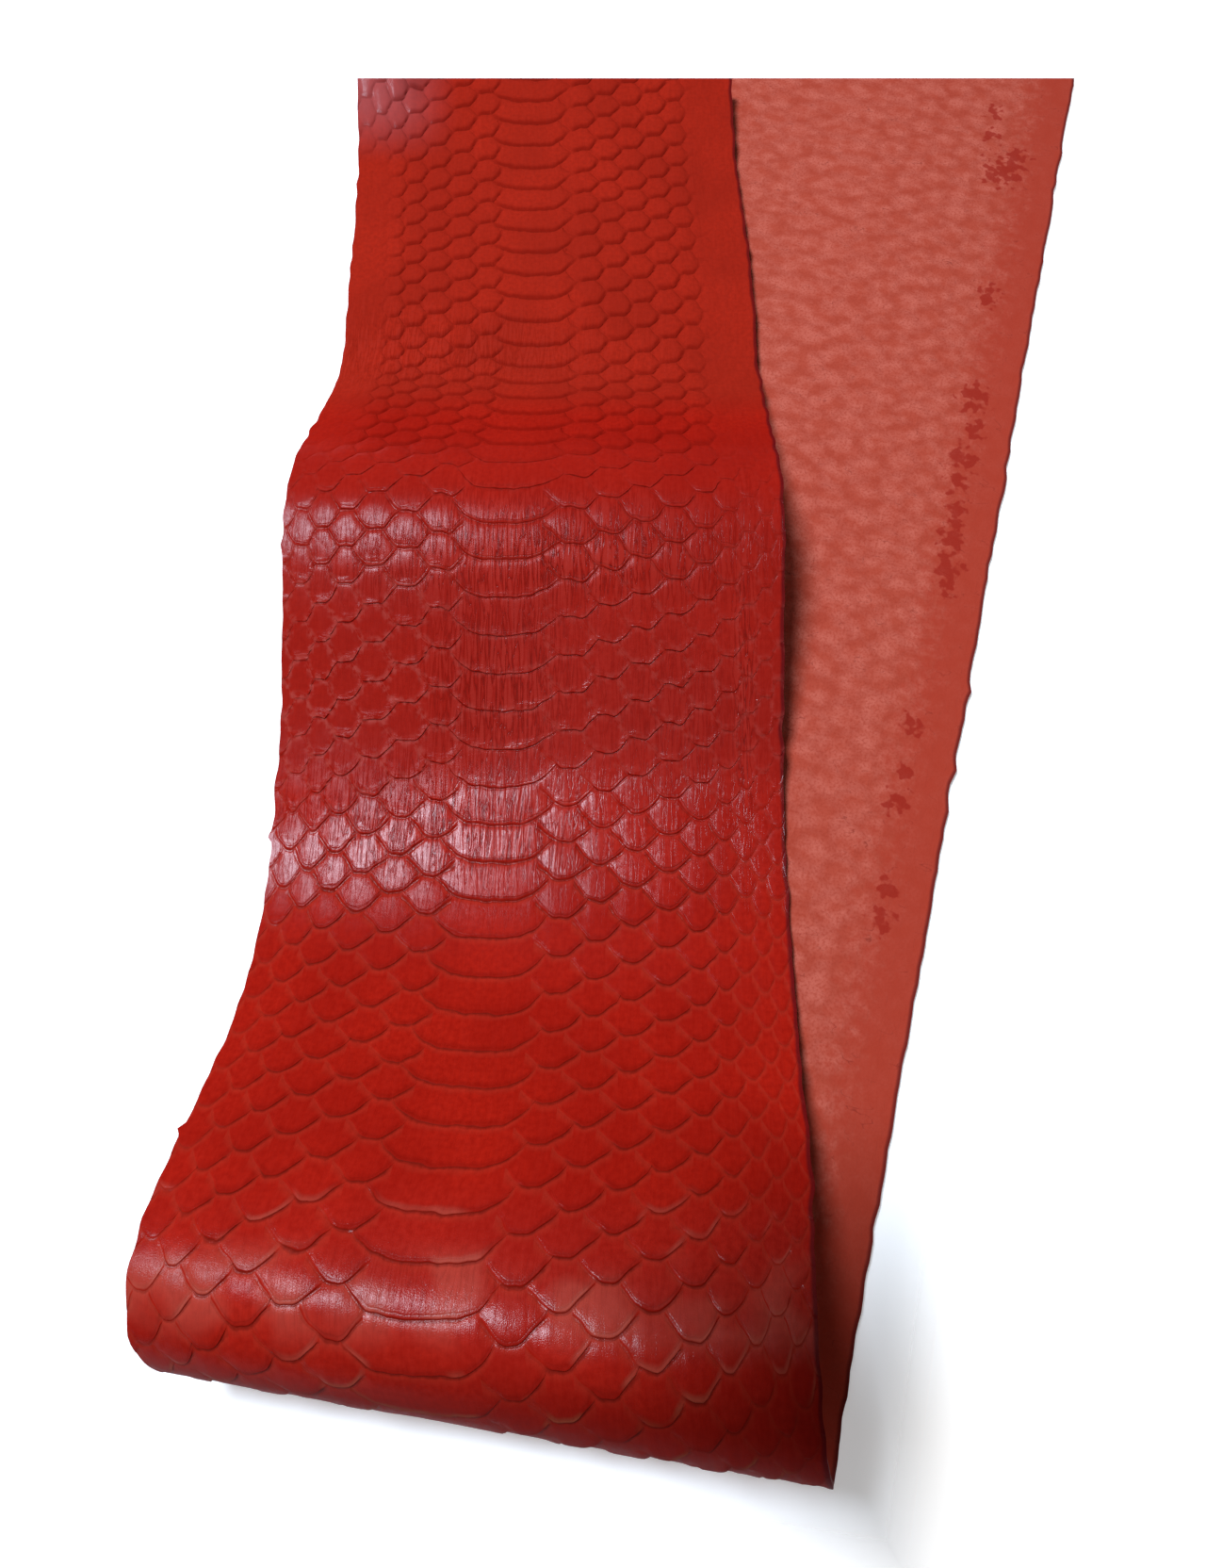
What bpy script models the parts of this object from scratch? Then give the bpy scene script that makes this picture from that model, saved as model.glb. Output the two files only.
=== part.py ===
"""A tanned snake skin: one long strip of dyed leather, folded back over itself with its scales outside.

The strip is drawn flat first. "Along" is measured down its length from the nose of the fold: positive on
the upper layer, negative on the lower one. "Across" is measured from its middle, positive to the right.
Each point of the flat strip is then laid on the folded shape, a sheet that bends one way at a time:
a round fold at the near end, a dip where the layers almost meet, a broad wave, and a lifted far end.
The scaled side is a grid whose rows and columns follow the rows and columns of scales.
"""

import math

import bmesh
import bpy
import numpy as np
from mathutils import Vector

# The strip, in metres
STRIP_WIDTH = 0.140
THICKNESS = 0.00075
WAIST_DEPTH = 0.0023
WAIST_ALONG = 0.320
WAIST_LENGTH = 0.032

# The scales: one row of them to each belly scute
SCUTE_PITCH = 0.01065
SCUTE_START = 0.00155
RELIEF = 0.0006
SCUTE_BOW = 0.0035
TIP_LEAN = 0.25
BELLY_MIDDLE = -0.009
BELLY_HALF = 0.0131
BELLY_INNER = 0.0070
LEFT_SPACINGS = (0.0054, 0.0095, 0.0092, 0.0085, 0.0075, 0.0078)
RIGHT_SPACINGS = (0.0056, 0.0097, 0.0093, 0.0093, 0.0082, 0.0068, 0.0062, 0.0107)
SCALE_POINT_SHIFT = 0.0016
EDGE_FADE = 0.020

# The folded shape: directions in degrees clockwise from +Y, lengths in metres
UPPER_HEADING = 1.0
LOWER_HEADING = 16.0
FOLD_RADIUS = 0.0202
WAVE_SKEW = 8.0
SWAY = 0.0057
SWAY_PLACE = 0.033
SWAY_LENGTH = 0.036
END_SWAY = 0.0052
END_SWAY_START = 0.350
END_SWAY_LENGTH = 0.120
UPPER_REACH = 0.4392
LOWER_REACH = 0.4541

# The upper layer's side view: (distance from the fold's nose, height) where its line changes
SIDE_VIEW = (
    (0.042, 0.0315),
    (0.058, 0.0235),
    (0.077, 0.0123),
    (0.098, 0.0042),
    (0.118, 0.0027),
    (0.140, 0.0043),
    (0.165, 0.0133),
    (0.190, 0.0212),
    (0.213, 0.0298),
    (0.234, 0.0313),
    (0.262, 0.0208),
    (0.300, 0.0052),
    (0.345, 0.0056),
    (0.395, 0.0050),
    (0.445, 0.0105),
    (0.480, 0.0150),
)

# How finely the side view is stepped, and how many steps each running average takes
LINE_STEP = 0.001
AVERAGED_STEPS = 13
AVERAGES = 3

# The grid reaches a little past both cuts
LAST_UPPER = 0.480
LAST_LOWER = -0.540
FLESH_COLUMNS = 4
RESTING_SCUTE_ALONG = -0.200

LEATHER_RED = (0.376, 0.013, 0.010, 1.0)


def ease(value):
    """A smooth step from 0 to 1 as value goes from 0 to 1."""
    value = min(max(value, 0.0), 1.0)
    return value * value * (3.0 - 2.0 * value)


def rounded(values):
    """Running averages that turn a line of straight runs into a curve."""
    window = np.ones(AVERAGED_STEPS) / AVERAGED_STEPS
    for _ in range(AVERAGES):
        padded = np.pad(values, AVERAGED_STEPS // 2, mode="reflect", reflect_type="odd")
        values = np.convolve(padded, window, "valid")
    return values


def side_view():
    """The sheet seen from the side: length along it from the fold's nose, forward place and height."""
    turn = np.radians(np.arange(-90, 91, 5))
    fold = np.stack([FOLD_RADIUS * (1 - np.cos(turn)), FOLD_RADIUS * (1 + np.sin(turn))], axis=1)
    corners = np.vstack([[[0.560, 0.0]], fold, SIDE_VIEW])
    travelled = np.concatenate([[0.0], np.cumsum(np.hypot(*np.diff(corners, axis=0).T))])
    steps = np.arange(0.0, travelled[-1], LINE_STEP)
    forward = rounded(np.interp(steps, travelled, corners[:, 0]))
    height = rounded(np.interp(steps, travelled, corners[:, 1]))
    length = np.concatenate([[0.0], np.cumsum(np.hypot(np.diff(forward), np.diff(height)))])
    nose = int(np.argmin(forward))
    return length - length[nose], forward - forward[nose], height


LENGTHS, FORWARDS, HEIGHTS = side_view()
HALF_TURN = math.radians((LOWER_HEADING - UPPER_HEADING) / 2)
FOLD_HEADING = math.radians((LOWER_HEADING + UPPER_HEADING) / 2)


def lay(across, along):
    """The place of a point of the flat strip on the folded sheet, relative to the fold's nose."""
    on_ruling = across * math.cos(HALF_TURN) - along * math.sin(HALF_TURN)
    on_side = across * math.sin(HALF_TURN) + along * math.cos(HALF_TURN)
    off_middle = on_ruling + on_side * math.tan(HALF_TURN)
    skew = -math.tan(math.radians(WAVE_SKEW)) * ease((on_side - 0.070) / 0.140) * off_middle
    forward = float(np.interp(on_side + skew, LENGTHS, FORWARDS)) - skew
    height = float(np.interp(on_side + skew, LENGTHS, HEIGHTS))
    on_ruling -= SWAY * math.exp(-(((on_side - SWAY_PLACE) / SWAY_LENGTH) ** 2))
    on_ruling -= END_SWAY * ease((on_side - END_SWAY_START) / END_SWAY_LENGTH)
    x = on_ruling * math.cos(FOLD_HEADING) + forward * math.sin(FOLD_HEADING)
    y = forward * math.cos(FOLD_HEADING) - on_ruling * math.sin(FOLD_HEADING)
    return Vector((x, y, height))


def outward(across, along):
    """The direction that the scaled side faces at a point."""
    reach = 0.0005
    right = lay(across + reach, along) - lay(across - reach, along)
    ahead = lay(across, along + reach) - lay(across, along - reach)
    return right.cross(ahead).normalized()


def trimmed(across, along):
    """Draws the left edge in a little where the strip has a waist."""
    waist = WAIST_DEPTH * math.exp(-(((along - WAIST_ALONG) / WAIST_LENGTH) ** 2))
    share = max(0.0, -across / (STRIP_WIDTH / 2))
    return across + waist * share**3


def column_places():
    """Places across of the grid's columns, from left to right, and the numbers of the belly's two edges."""
    left = BELLY_MIDDLE - BELLY_HALF - np.cumsum(LEFT_SPACINGS)
    right = BELLY_MIDDLE + BELLY_HALF + np.cumsum(RIGHT_SPACINGS)
    belly = BELLY_MIDDLE + np.array([-BELLY_HALF, -BELLY_INNER, 0.0, BELLY_INNER, BELLY_HALF])
    places = np.concatenate([left[::-1], belly, right])
    places[0], places[-1] = -STRIP_WIDTH / 2, STRIP_WIDTH / 2
    return places.tolist(), len(left), len(left) + 4


def row_places():
    """Places along of the grid's rows, half a scute apart. Odd rows hold the grooves of the belly."""
    half = SCUTE_PITCH / 2
    first = math.floor((LAST_LOWER - SCUTE_START) / SCUTE_PITCH)
    count = int((LAST_UPPER - LAST_LOWER) / half)
    return [SCUTE_START + first * SCUTE_PITCH + (row - 1) * half for row in range(count)]


def is_raised(column, row, belly_left, belly_right):
    """Whether a grid point is the top of a scale: every other point, in turn from row to row."""
    if belly_left <= column <= belly_right:
        return row % 2 == 0
    outside = belly_left - column if column < belly_left else column - belly_right
    return (row + outside) % 2 == 0


def flat_grid(bm, columns, rows):
    """A grid primitive of the given numbers of points, returned as rows of its vertices."""
    made = bmesh.ops.create_grid(bm, x_segments=columns - 1, y_segments=rows - 1, size=1.0)
    verts = sorted(made["verts"], key=lambda v: (round(v.co.y, 6), v.co.x))
    return [verts[row * columns : (row + 1) * columns] for row in range(rows)]


def scaled_side(bm):
    """The grain side: a point for each scale's top, and the valleys between scales lower by RELIEF."""
    places, belly_left, belly_right = column_places()
    rows = row_places()
    grid = flat_grid(bm, len(places), len(rows))
    resting = min(range(1, len(rows), 2), key=lambda row: abs(rows[row] - RESTING_SCUTE_ALONG))
    for row, along in enumerate(rows):
        for column, across in enumerate(places):
            raised = is_raised(column, row, belly_left, belly_right)
            flank = not belly_left <= column <= belly_right
            edge = column in (0, len(places) - 1)
            from_belly = (across - BELLY_MIDDLE) / BELLY_HALF
            point = along
            if raised and not edge:
                point -= TIP_LEAN * SCUTE_PITCH
            if not flank:
                point -= SCUTE_BOW * (1.0 - from_belly**2)
            elif not raised and not edge:
                across -= math.copysign(SCALE_POINT_SHIFT, from_belly)
            height = RELIEF if raised else 0.0
            if row == resting and belly_left < column < belly_right:
                height = RELIEF
            across = trimmed(across, point)
            to_edge = STRIP_WIDTH / 2 - abs(across)
            height *= 0.0 if edge else 0.4 + 0.6 * ease(to_edge / EDGE_FADE)
            grid[row][column].co = lay(across, point) + height * outward(across, point)
    split_into_scales(grid, belly_left, belly_right)
    return grid, rows


def split_into_scales(grid, belly_left, belly_right):
    """Cuts each four-sided face of the grid along the valley that crosses it."""
    for row in range(len(grid) - 1):
        for column in range(len(grid[0]) - 1):
            low = (grid[row][column], grid[row + 1][column + 1])
            high = (grid[row][column + 1], grid[row + 1][column])
            on_belly = belly_left <= column < belly_right
            valley = high if is_raised(column, row, belly_left, belly_right) or on_belly else low
            face = next(f for f in valley[0].link_faces if valley[1] in f.verts)
            bmesh.utils.face_split(face, *valley)


def flesh_side(bm, rows):
    """The smooth underside of the leather: fewer columns, and the same rows."""
    grid = flat_grid(bm, FLESH_COLUMNS + 1, len(rows))
    for verts, along in zip(grid, rows):
        for column, vert in enumerate(verts):
            across = trimmed(STRIP_WIDTH * (column / FLESH_COLUMNS - 0.5), along)
            vert.co = lay(across, along) - THICKNESS * outward(across, along)
    return grid


def chain_edges(bm, verts):
    """The edges that join a list of vertices in turn."""
    return [bm.edges.get(pair) for pair in zip(verts, verts[1:])]


def close_long_edges(bm, grain, flesh):
    """The cut edge of the leather along both sides of the strip."""
    for side in (0, -1):
        outer = chain_edges(bm, [verts[side] for verts in grain])
        inner = chain_edges(bm, [verts[side] for verts in flesh])
        bmesh.ops.bridge_loops(bm, edges=outer + inner)


def cut_end(bm, across, along, reach):
    """Cuts one end of the strip off square to Y, at reach beyond the fold's nose, and closes it.

    across and along name a point near that end, which tells the two layers' ends apart.
    """
    plane = Vector((0.0, reach, 0.0))
    near_end = lay(across, along)
    layer = set()
    stack = [min(bm.verts, key=lambda v: (v.co - near_end).length)]
    while stack:
        vert = stack.pop()
        if vert in layer or vert.co.y < reach - 0.05:
            continue
        layer.add(vert)
        stack += [edge.other_vert(vert) for edge in vert.link_edges]
    faces = {face for vert in layer for face in vert.link_faces}
    edges = {edge for face in faces for edge in face.edges}
    verts = {vert for face in faces for vert in face.verts}
    bmesh.ops.bisect_plane(
        bm,
        geom=[*faces, *edges, *verts],
        dist=1e-6,
        plane_co=plane,
        plane_no=(0.0, 1.0, 0.0),
        clear_outer=True,
    )
    bmesh.ops.holes_fill(bm, edges=[edge for edge in bm.edges if edge.is_boundary], sides=0)


def centre_on_ground(bm):
    """Moves the skin so that the origin is under its middle, level with its lowest scales."""
    places = np.array([vert.co for vert in bm.verts])
    low, high = places.min(axis=0), places.max(axis=0)
    middle = Vector(((low[0] + high[0]) / 2, (low[1] + high[1]) / 2, low[2]))
    bmesh.ops.translate(bm, verts=bm.verts, vec=-middle)


def dyed_leather():
    material = bpy.data.materials.new("red_dyed_leather")
    material.use_nodes = True
    shader = material.node_tree.nodes["Principled BSDF"]
    shader.inputs["Base Color"].default_value = LEATHER_RED
    shader.inputs["Roughness"].default_value = 0.38
    shader.inputs["Metallic"].default_value = 0.0
    material.diffuse_color = LEATHER_RED
    return material


def build_skin():
    bm = bmesh.new()
    grain, rows = scaled_side(bm)
    flesh = flesh_side(bm, rows)
    close_long_edges(bm, grain, flesh)
    cut_end(bm, 0.0, LAST_UPPER - 0.01, UPPER_REACH)
    cut_end(bm, 0.0, LAST_LOWER + 0.01, LOWER_REACH)
    bmesh.ops.recalc_face_normals(bm, faces=bm.faces)
    centre_on_ground(bm)
    mesh = bpy.data.meshes.new("snake_skin")
    bm.to_mesh(mesh)
    bm.free()
    mesh.materials.append(dyed_leather())
    return bpy.data.objects.new("snake_skin", mesh)


def main():
    for old in list(bpy.data.objects):
        bpy.data.objects.remove(old)
    collection = bpy.data.collections.new("tanned_snake_skin")
    bpy.context.scene.collection.children.link(collection)
    collection.objects.link(build_skin())


main()
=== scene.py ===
# %% [markdown]
# # A tanned snake skin, folded once
# This lesson makes the visible skin over the CAD frame: one long strip of dyed leather, folded back
# over itself with its scales outside. We draw everything on the flat strip first, where "across" is
# measured from the middle and "along" from the nose of the fold, and only then bend the strip.

# %% Load the frame
import math
from functools import partial
from types import SimpleNamespace

import bmesh
import bpy
import numpy as np
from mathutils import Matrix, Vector


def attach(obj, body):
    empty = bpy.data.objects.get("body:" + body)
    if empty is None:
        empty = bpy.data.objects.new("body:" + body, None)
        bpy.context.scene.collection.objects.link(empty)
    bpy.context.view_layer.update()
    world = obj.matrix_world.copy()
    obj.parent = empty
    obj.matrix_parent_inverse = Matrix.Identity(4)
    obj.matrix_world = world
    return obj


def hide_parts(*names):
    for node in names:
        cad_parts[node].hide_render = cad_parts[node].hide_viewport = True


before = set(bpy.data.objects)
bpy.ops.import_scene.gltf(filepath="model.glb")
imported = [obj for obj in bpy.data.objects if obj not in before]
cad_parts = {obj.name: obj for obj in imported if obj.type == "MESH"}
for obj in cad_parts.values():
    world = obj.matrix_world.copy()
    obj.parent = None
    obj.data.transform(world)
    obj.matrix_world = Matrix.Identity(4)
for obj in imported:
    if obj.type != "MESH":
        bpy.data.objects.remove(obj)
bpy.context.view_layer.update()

# %% [markdown]
# ## Units
# Blender works in metres. Leather is easier to think about in millimetres, so the strip, its scales
# and its patterns are in millimetres, and a point turns into metres when it is bent.

# %% Sizes of the strip
MM = 0.001
STRIP_WIDTH = 140
THICKNESS = 0.75
LAST_UPPER = 480
LAST_LOWER = -540
SEED = 7


def ramp(value, start, end):
    """A smooth step from 0 at start to 1 at end. The end may also be the smaller one."""
    share = np.clip((value - start) / (end - start), 0, 1)
    return share * share * (3 - 2 * share)


def in_scene(name, data):
    """A new object with this data, linked to the scene."""
    made = bpy.data.objects.new(name, data)
    bpy.context.scene.collection.objects.link(made)
    return made


def bump(value, middle, half_width):
    """1 at middle, about a third at half_width on both sides, and almost nothing at twice that."""
    return np.exp(-(((value - middle) / half_width) ** 2))


# %% [markdown]
# ## The folded shape
# Leather bends, but it doesn't stretch. So the skin is a sheet that bends one way at a time: a round
# fold at the near end, a dip where the two layers almost meet, a broad wave, and a lifted far end.
# The side view is a line of straight runs, and running averages turn it into a curve.

# %% The side view of the sheet
FOLD_RADIUS = 0.0202
LOWER_END = (0.560, 0)
SIDE_VIEW = (
    (0.042, 0.0315), (0.058, 0.0235), (0.077, 0.0123), (0.098, 0.0042), (0.118, 0.0027), (0.141, 0.0037),
    (0.156, 0.0063), (0.170, 0.0113), (0.190, 0.0200), (0.213, 0.0292), (0.228, 0.0328), (0.237, 0.0332),
    (0.262, 0.0208), (0.300, 0.0052), (0.345, 0.0056), (0.395, 0.0050), (0.445, 0.0105), (0.480, 0.0150),
)
LINE_STEP = 0.001
AVERAGED_STEPS = 13
AVERAGES = 3


def rounded(values):
    """Running averages that turn a line of straight runs into a curve."""
    window = np.ones(AVERAGED_STEPS) / AVERAGED_STEPS
    for _ in range(AVERAGES):
        padded = np.pad(values, AVERAGED_STEPS // 2, mode="reflect", reflect_type="odd")
        values = np.convolve(padded, window, "valid")
    return values


def side_view():
    """The sheet seen from the side: length along it from the nose, forward place and height."""
    turn = np.radians(np.arange(-90, 91, 5))
    fold = np.stack([FOLD_RADIUS * (1 - np.cos(turn)), FOLD_RADIUS * (1 + np.sin(turn))], axis=1)
    corners = np.vstack([LOWER_END, fold, SIDE_VIEW])
    travelled = np.concatenate([[0], np.cumsum(np.hypot(*np.diff(corners, axis=0).T))])
    steps = np.arange(0, travelled[-1], LINE_STEP)
    forward = rounded(np.interp(steps, travelled, corners[:, 0]))
    height = rounded(np.interp(steps, travelled, corners[:, 1]))
    length = np.concatenate([[0], np.cumsum(np.hypot(np.diff(forward), np.diff(height)))])
    nose = int(np.argmin(forward))
    return length - length[nose], forward - forward[nose], height


LENGTHS, FORWARDS, HEIGHTS = side_view()
print("sheet in side view, metres", round(float(LENGTHS[-1] - LENGTHS[0]), 3))

# %% [markdown]
# ## From flat to folded
# The fold isn't square to the strip: the upper layer heads 1 degree off straight ahead and the lower
# one 16 degrees, so the fold's rulings lie halfway between. The wave is skewed a little, and the fold
# and the far end lie a few millimetres left of a straight strip. The far left corner of the real skin
# curls up a little, as the thin edge of a hide does when it dries.

# %% Lay a flat point on the folded sheet
NOSE = np.array([-0.06408, -0.22202, 0.0006])
UPPER_TURN, LOWER_TURN = 1, 16
HALF_TURN = math.radians((LOWER_TURN - UPPER_TURN) / 2)
FOLD_HEADING = math.radians((LOWER_TURN + UPPER_TURN) / 2)
WAVE_SKEW = math.tan(math.radians(8))
FOOT_SKEW = 0.12
CORNER_LIFT = 0.0045
CORNER_CURL = 0.003
FOLD_SHIFT = 0.0057
FAR_SHIFT = 0.0052


def lay(across, along):
    """The place in metres of a point of the flat strip, given in millimetres."""
    q, s = across * MM, along * MM
    on_ruling = q * math.cos(HALF_TURN) - s * math.sin(HALF_TURN)
    on_side = q * math.sin(HALF_TURN) + s * math.cos(HALF_TURN)
    off_middle = on_ruling + on_side * math.tan(HALF_TURN)
    skew = -WAVE_SKEW * ramp(on_side, 0.070, 0.210) * off_middle
    skew = skew - FOOT_SKEW * bump(on_side, 0.152, 0.022) * off_middle
    forward = np.interp(on_side + skew, LENGTHS, FORWARDS) - skew
    height = np.interp(on_side + skew, LENGTHS, HEIGHTS)
    height = height + CORNER_LIFT * ramp(along, 422, 462) * ramp(across, -38, -70)
    curl = np.clip((along - 441) / 17, 0, 1.4) ** 2
    height = height + CORNER_CURL * curl * ramp(across, -45, -57)
    on_ruling = on_ruling - FOLD_SHIFT * bump(on_side, 0.033, 0.036)
    on_ruling = on_ruling - FAR_SHIFT * ramp(on_side, 0.350, 0.470)
    x = on_ruling * math.cos(FOLD_HEADING) + forward * math.sin(FOLD_HEADING)
    y = forward * math.cos(FOLD_HEADING) - on_ruling * math.sin(FOLD_HEADING)
    return np.stack([x, y, height], axis=-1) + NOSE


def outward(across, along):
    """The direction that the scaled side faces, from four points half a millimetre away."""
    right = lay(across + 0.5, along) - lay(across - 0.5, along)
    ahead = lay(across, along + 0.5) - lay(across, along - 0.5)
    normal = np.cross(right, ahead)
    return normal / np.linalg.norm(normal, axis=-1, keepdims=True)


# %% [markdown]
# ## Slow noise
# No hide is even. A few sine waves with seeded directions add up to a smooth noise that never
# repeats within the skin. It makes the scale edges, the cut edges and the crumpled part uneven.

# %% Seeded wave noise
random = np.random.default_rng(SEED)
WAVE_COUNT = 14


def waves(size):
    """A smooth random field over the flat strip, about -1 to 1, with bumps of about size mm."""
    turn = random.uniform(0, 2 * math.pi, WAVE_COUNT)
    pace = 2 * math.pi / (size * random.uniform(0.7, 1.6, WAVE_COUNT))
    phase = random.uniform(0, 2 * math.pi, WAVE_COUNT)

    def field(across, along):
        total = np.zeros(np.shape(along))
        for angle, rate, start in zip(turn, pace, phase):
            total = total + np.sin(rate * (across * math.cos(angle) + along * math.sin(angle)) + start)
        return total / math.sqrt(WAVE_COUNT)

    return field


# %% [markdown]
# ## Where the scales are
# A snake's scales stand in columns, each column half a scale out of step with the next, and there is
# one broad belly scute to each scale of a column. The columns get narrower towards the edges. When a
# skin is pegged out and tanned its rows drift out of line, so each column has a drift of its own,
# in shares of a scale, that changes slowly along the strip. The columns bend a little too, and the
# belly line wanders near the far end. These numbers follow the photograph.

# %% The columns and rows of scales
PITCH = 10.6
FIRST_TIP = 10.1
BELLY_MIDDLE = -9
COLUMN_PLACES = (
    -66.5, -61.5, -56, -50.4, -43.8, -35.8, -26.5, -16.9, -8, 8.5,
    19.2, 28.7, 38, 47.2, 56, 62.6, 68.2, 72.8, 76.7, 80.5,
)
COLUMN_NUMBERS = (*range(-8, 1), *range(11))
WANDER_STATIONS, WANDER = (255, 300, 335, 370, 395), (0, 5, 5, 3.3, 2.6)
WANDER_PLACES, WANDER_SHARES = (-30, -15, 10, 20, 50, 70), (1.4, 1, 1, 0.8, 0.35, 0)
BEND_STATIONS = (30, 60, 95, 125, 150, 170, 195, 250, 300)
LEFT_BEND = (-1.8, -2.6, -2.7, -1.3, 0, 0, 0.2, 0, 0)
RIGHT_BEND = (-1.5, -1.5, -1.4, -1, -0.3, 0.2, 1.1, 1.1, 0)
DRIFT_COLUMNS = (-5, -3, -1, 0, 1, 3, 5, 9)
DRIFT_STATIONS = (30, 80, 130, 190, 240, 265, 300, 345, 400, 450)
DRIFTS = (
    (0.40, 0.30, 0.12, 0, 0.10, 0.25, 0.20, 0.20),
    (0.24, 0.12, 0.10, 0, 0.14, 0.12, 0.05, 0.05),
    (0.24, 0.17, 0.12, 0, 0.09, -0.08, -0.20, -0.35),
    (0.26, 0.24, 0.13, 0, 0.05, -0.14, -0.33, -0.55),
    (0.30, 0.30, 0.26, 0, -0.02, -0.38, -0.53, -0.70),
    (0.45, 0.43, 0.42, 0, -0.03, -0.37, -0.51, -0.70),
    (0.45, 0.30, 0.17, 0, 0.08, 0.00, 0.10, 0.10),
    (-0.30, -0.15, -0.06, 0, 0.29, 0.36, 0.50, 0.60),
    (-0.95, -0.55, -0.13, 0, 0.43, 0.58, 0.82, 1.10),
    (-0.90, -0.50, -0.10, 0, 0.36, 0.42, 0.62, 0.90),
)


def from_belly_line(across, along):
    """Millimetres right of the belly line."""
    wander = np.interp(along, WANDER_STATIONS, WANDER) * np.interp(across, WANDER_PLACES, WANDER_SHARES)
    left = np.interp(along, BEND_STATIONS, LEFT_BEND) * ramp(across, -13, -22)
    right = np.interp(along, BEND_STATIONS, RIGHT_BEND) * ramp(across, 0.5, 8.5)
    return across - BELLY_MIDDLE - wander - left - right


def drift(column, along):
    """How far a column's scales are out of step, in shares of a scale."""
    places = np.interp(along, DRIFT_STATIONS, np.arange(len(DRIFT_STATIONS)))
    lower = np.clip(np.floor(places).astype(int), 0, len(DRIFT_STATIONS) - 2)
    share = ramp(places - lower, 0, 1)
    made = np.zeros(np.shape(along))
    for station, drifts in enumerate(DRIFTS):
        here = np.interp(column, DRIFT_COLUMNS, drifts)
        weight = np.where(lower == station, 1 - share, np.where(lower == station - 1, share, 0))
        made = made + weight * here
    return made


row_wobble = waves(5)
place_wobble = waves(7)
ROW_WOBBLE, PLACE_WOBBLE = 0.022, 0.22


def scale_coordinates(across, along):
    """The column number, the row number and the distance from the belly line of a flat point."""
    middle = from_belly_line(across, along) + PLACE_WOBBLE * place_wobble(across, along)
    column = np.interp(middle, COLUMN_PLACES, COLUMN_NUMBERS)
    row = (along - FIRST_TIP) / PITCH - drift(column, along) + ROW_WOBBLE * row_wobble(across, along)
    return column, row, middle


# %% [markdown]
# ## The outline of one scale
# Each scale's free edge points towards the tail. It has a flat tip and two curved flanks, and the
# next column's scales look out between the flanks. A scute's free edge is nearly straight and turns
# up at its ends. For a flat point we ask each scale that might cover it how far above its free edge
# the point lies; the nearest one is the scale that we see. The left flanks lie flatter than the
# right ones, so they fade out sooner. Beyond the foot of the wave the tips are broader.

# %% Which scale covers a point
FLANK_REACH = 0.72
FLANK_SLANT = 0.85
TIP_HALF = (0.07, 0.25)
FLANK_SLOPE = (1.05, 1.30)
TIP_ROUNDING = (0.24, 0.12)
BROAD_FROM, BROAD_TO = 162, 188
CRISP_TO = ((0.54, 0.72, 0.3), (0.20, 0.42, 0.08))
SCUTE_HALF = 14.9
SCUTE_CURVE = 3.2
SCUTE_REACH = 15.3
SCUTE_CRISP, SCUTE_LEAST = 11, 0.4
FAR = 9


def scale_at(column, row, middle, along):
    """Distances in mm above the own free edge and below the covering one, and how crisp both are."""
    broad = ramp(along, BROAD_FROM, BROAD_TO)
    tip, slope, rounding = (low + (high - low) * broad for low, high in (TIP_HALF, FLANK_SLOPE, TIP_ROUNDING))
    candidates = []
    for side, (start, end, least) in enumerate(CRISP_TO):
        number = np.floor(column) + side
        off = np.abs(column - number)
        past_tip = np.maximum(off - tip, 0)
        rise = slope * (np.sqrt(past_tip**2 + rounding**2) - rounding)
        share = np.mod(row - number / 2 - rise, 1)
        crisp = 1 - (1 - least) * ramp(off, start, end)
        candidates.append((share, (off <= FLANK_REACH) & (number != 0), crisp, 1 - FLANK_SLANT * off**2))
    off = np.abs(middle)
    share = np.mod(row - 0.5 * (off / SCUTE_HALF) ** SCUTE_CURVE, 1)
    crisp = 1 - (1 - SCUTE_LEAST) * ramp(off, SCUTE_CRISP, SCUTE_REACH)
    candidates.append((share, off <= SCUTE_REACH, crisp, 1))

    own, over = np.full((2, *np.shape(column)), FAR)
    own_crisp = over_crisp = np.zeros(np.shape(column))
    narrower = np.ones(np.shape(column))
    for share, valid, crisp, slant in candidates:
        nearer = valid & (share < own)
        own_crisp = np.where(nearer, crisp, own_crisp)
        narrower = np.where(nearer, slant, narrower)
        own = np.where(nearer, share, own)
        nearer = valid & ((1 - share) * slant < over)
        over_crisp = np.where(nearer, crisp, over_crisp)
        over = np.where(nearer, (1 - share) * slant, over)
    return own * PITCH, own * narrower * PITCH, over * PITCH, own_crisp, over_crisp


# %% [markdown]
# ## The relief of the scales
# Under the covering scale's edge the skin is lowest. From there a scale rises slowly and ends in a
# sharp step of about 0.3 mm. Where the sheet is bent the plates stand out as low domes with a groove
# all round, on the slope the rims lift a little and the left side is crumpled, and beyond the wave
# the scales are puffed up. On the nose of the fold the free edges stand off, as scales do where the
# skin is turned sharply. Towards both long edges, where the scales are small and worn, everything
# gets lower.

# %% Height of the grain side
FREE_EDGE = 0.27
DOME = 0.20
FAR_DOME = 0.32
FRONT_SLOPE = 0.24
RIM_LIFT = 0.06
PAD_CRISP = 0.65
LEAST_PAD = 0.2
CREST = 33
CREST_DOME = 0.16
NOSE_LIFT = 0.45
DOME_REACH = 4.2
BELLY_SHARE = 0.85
CRUMPLED = 0.045
crumple = waves(4)


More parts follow.
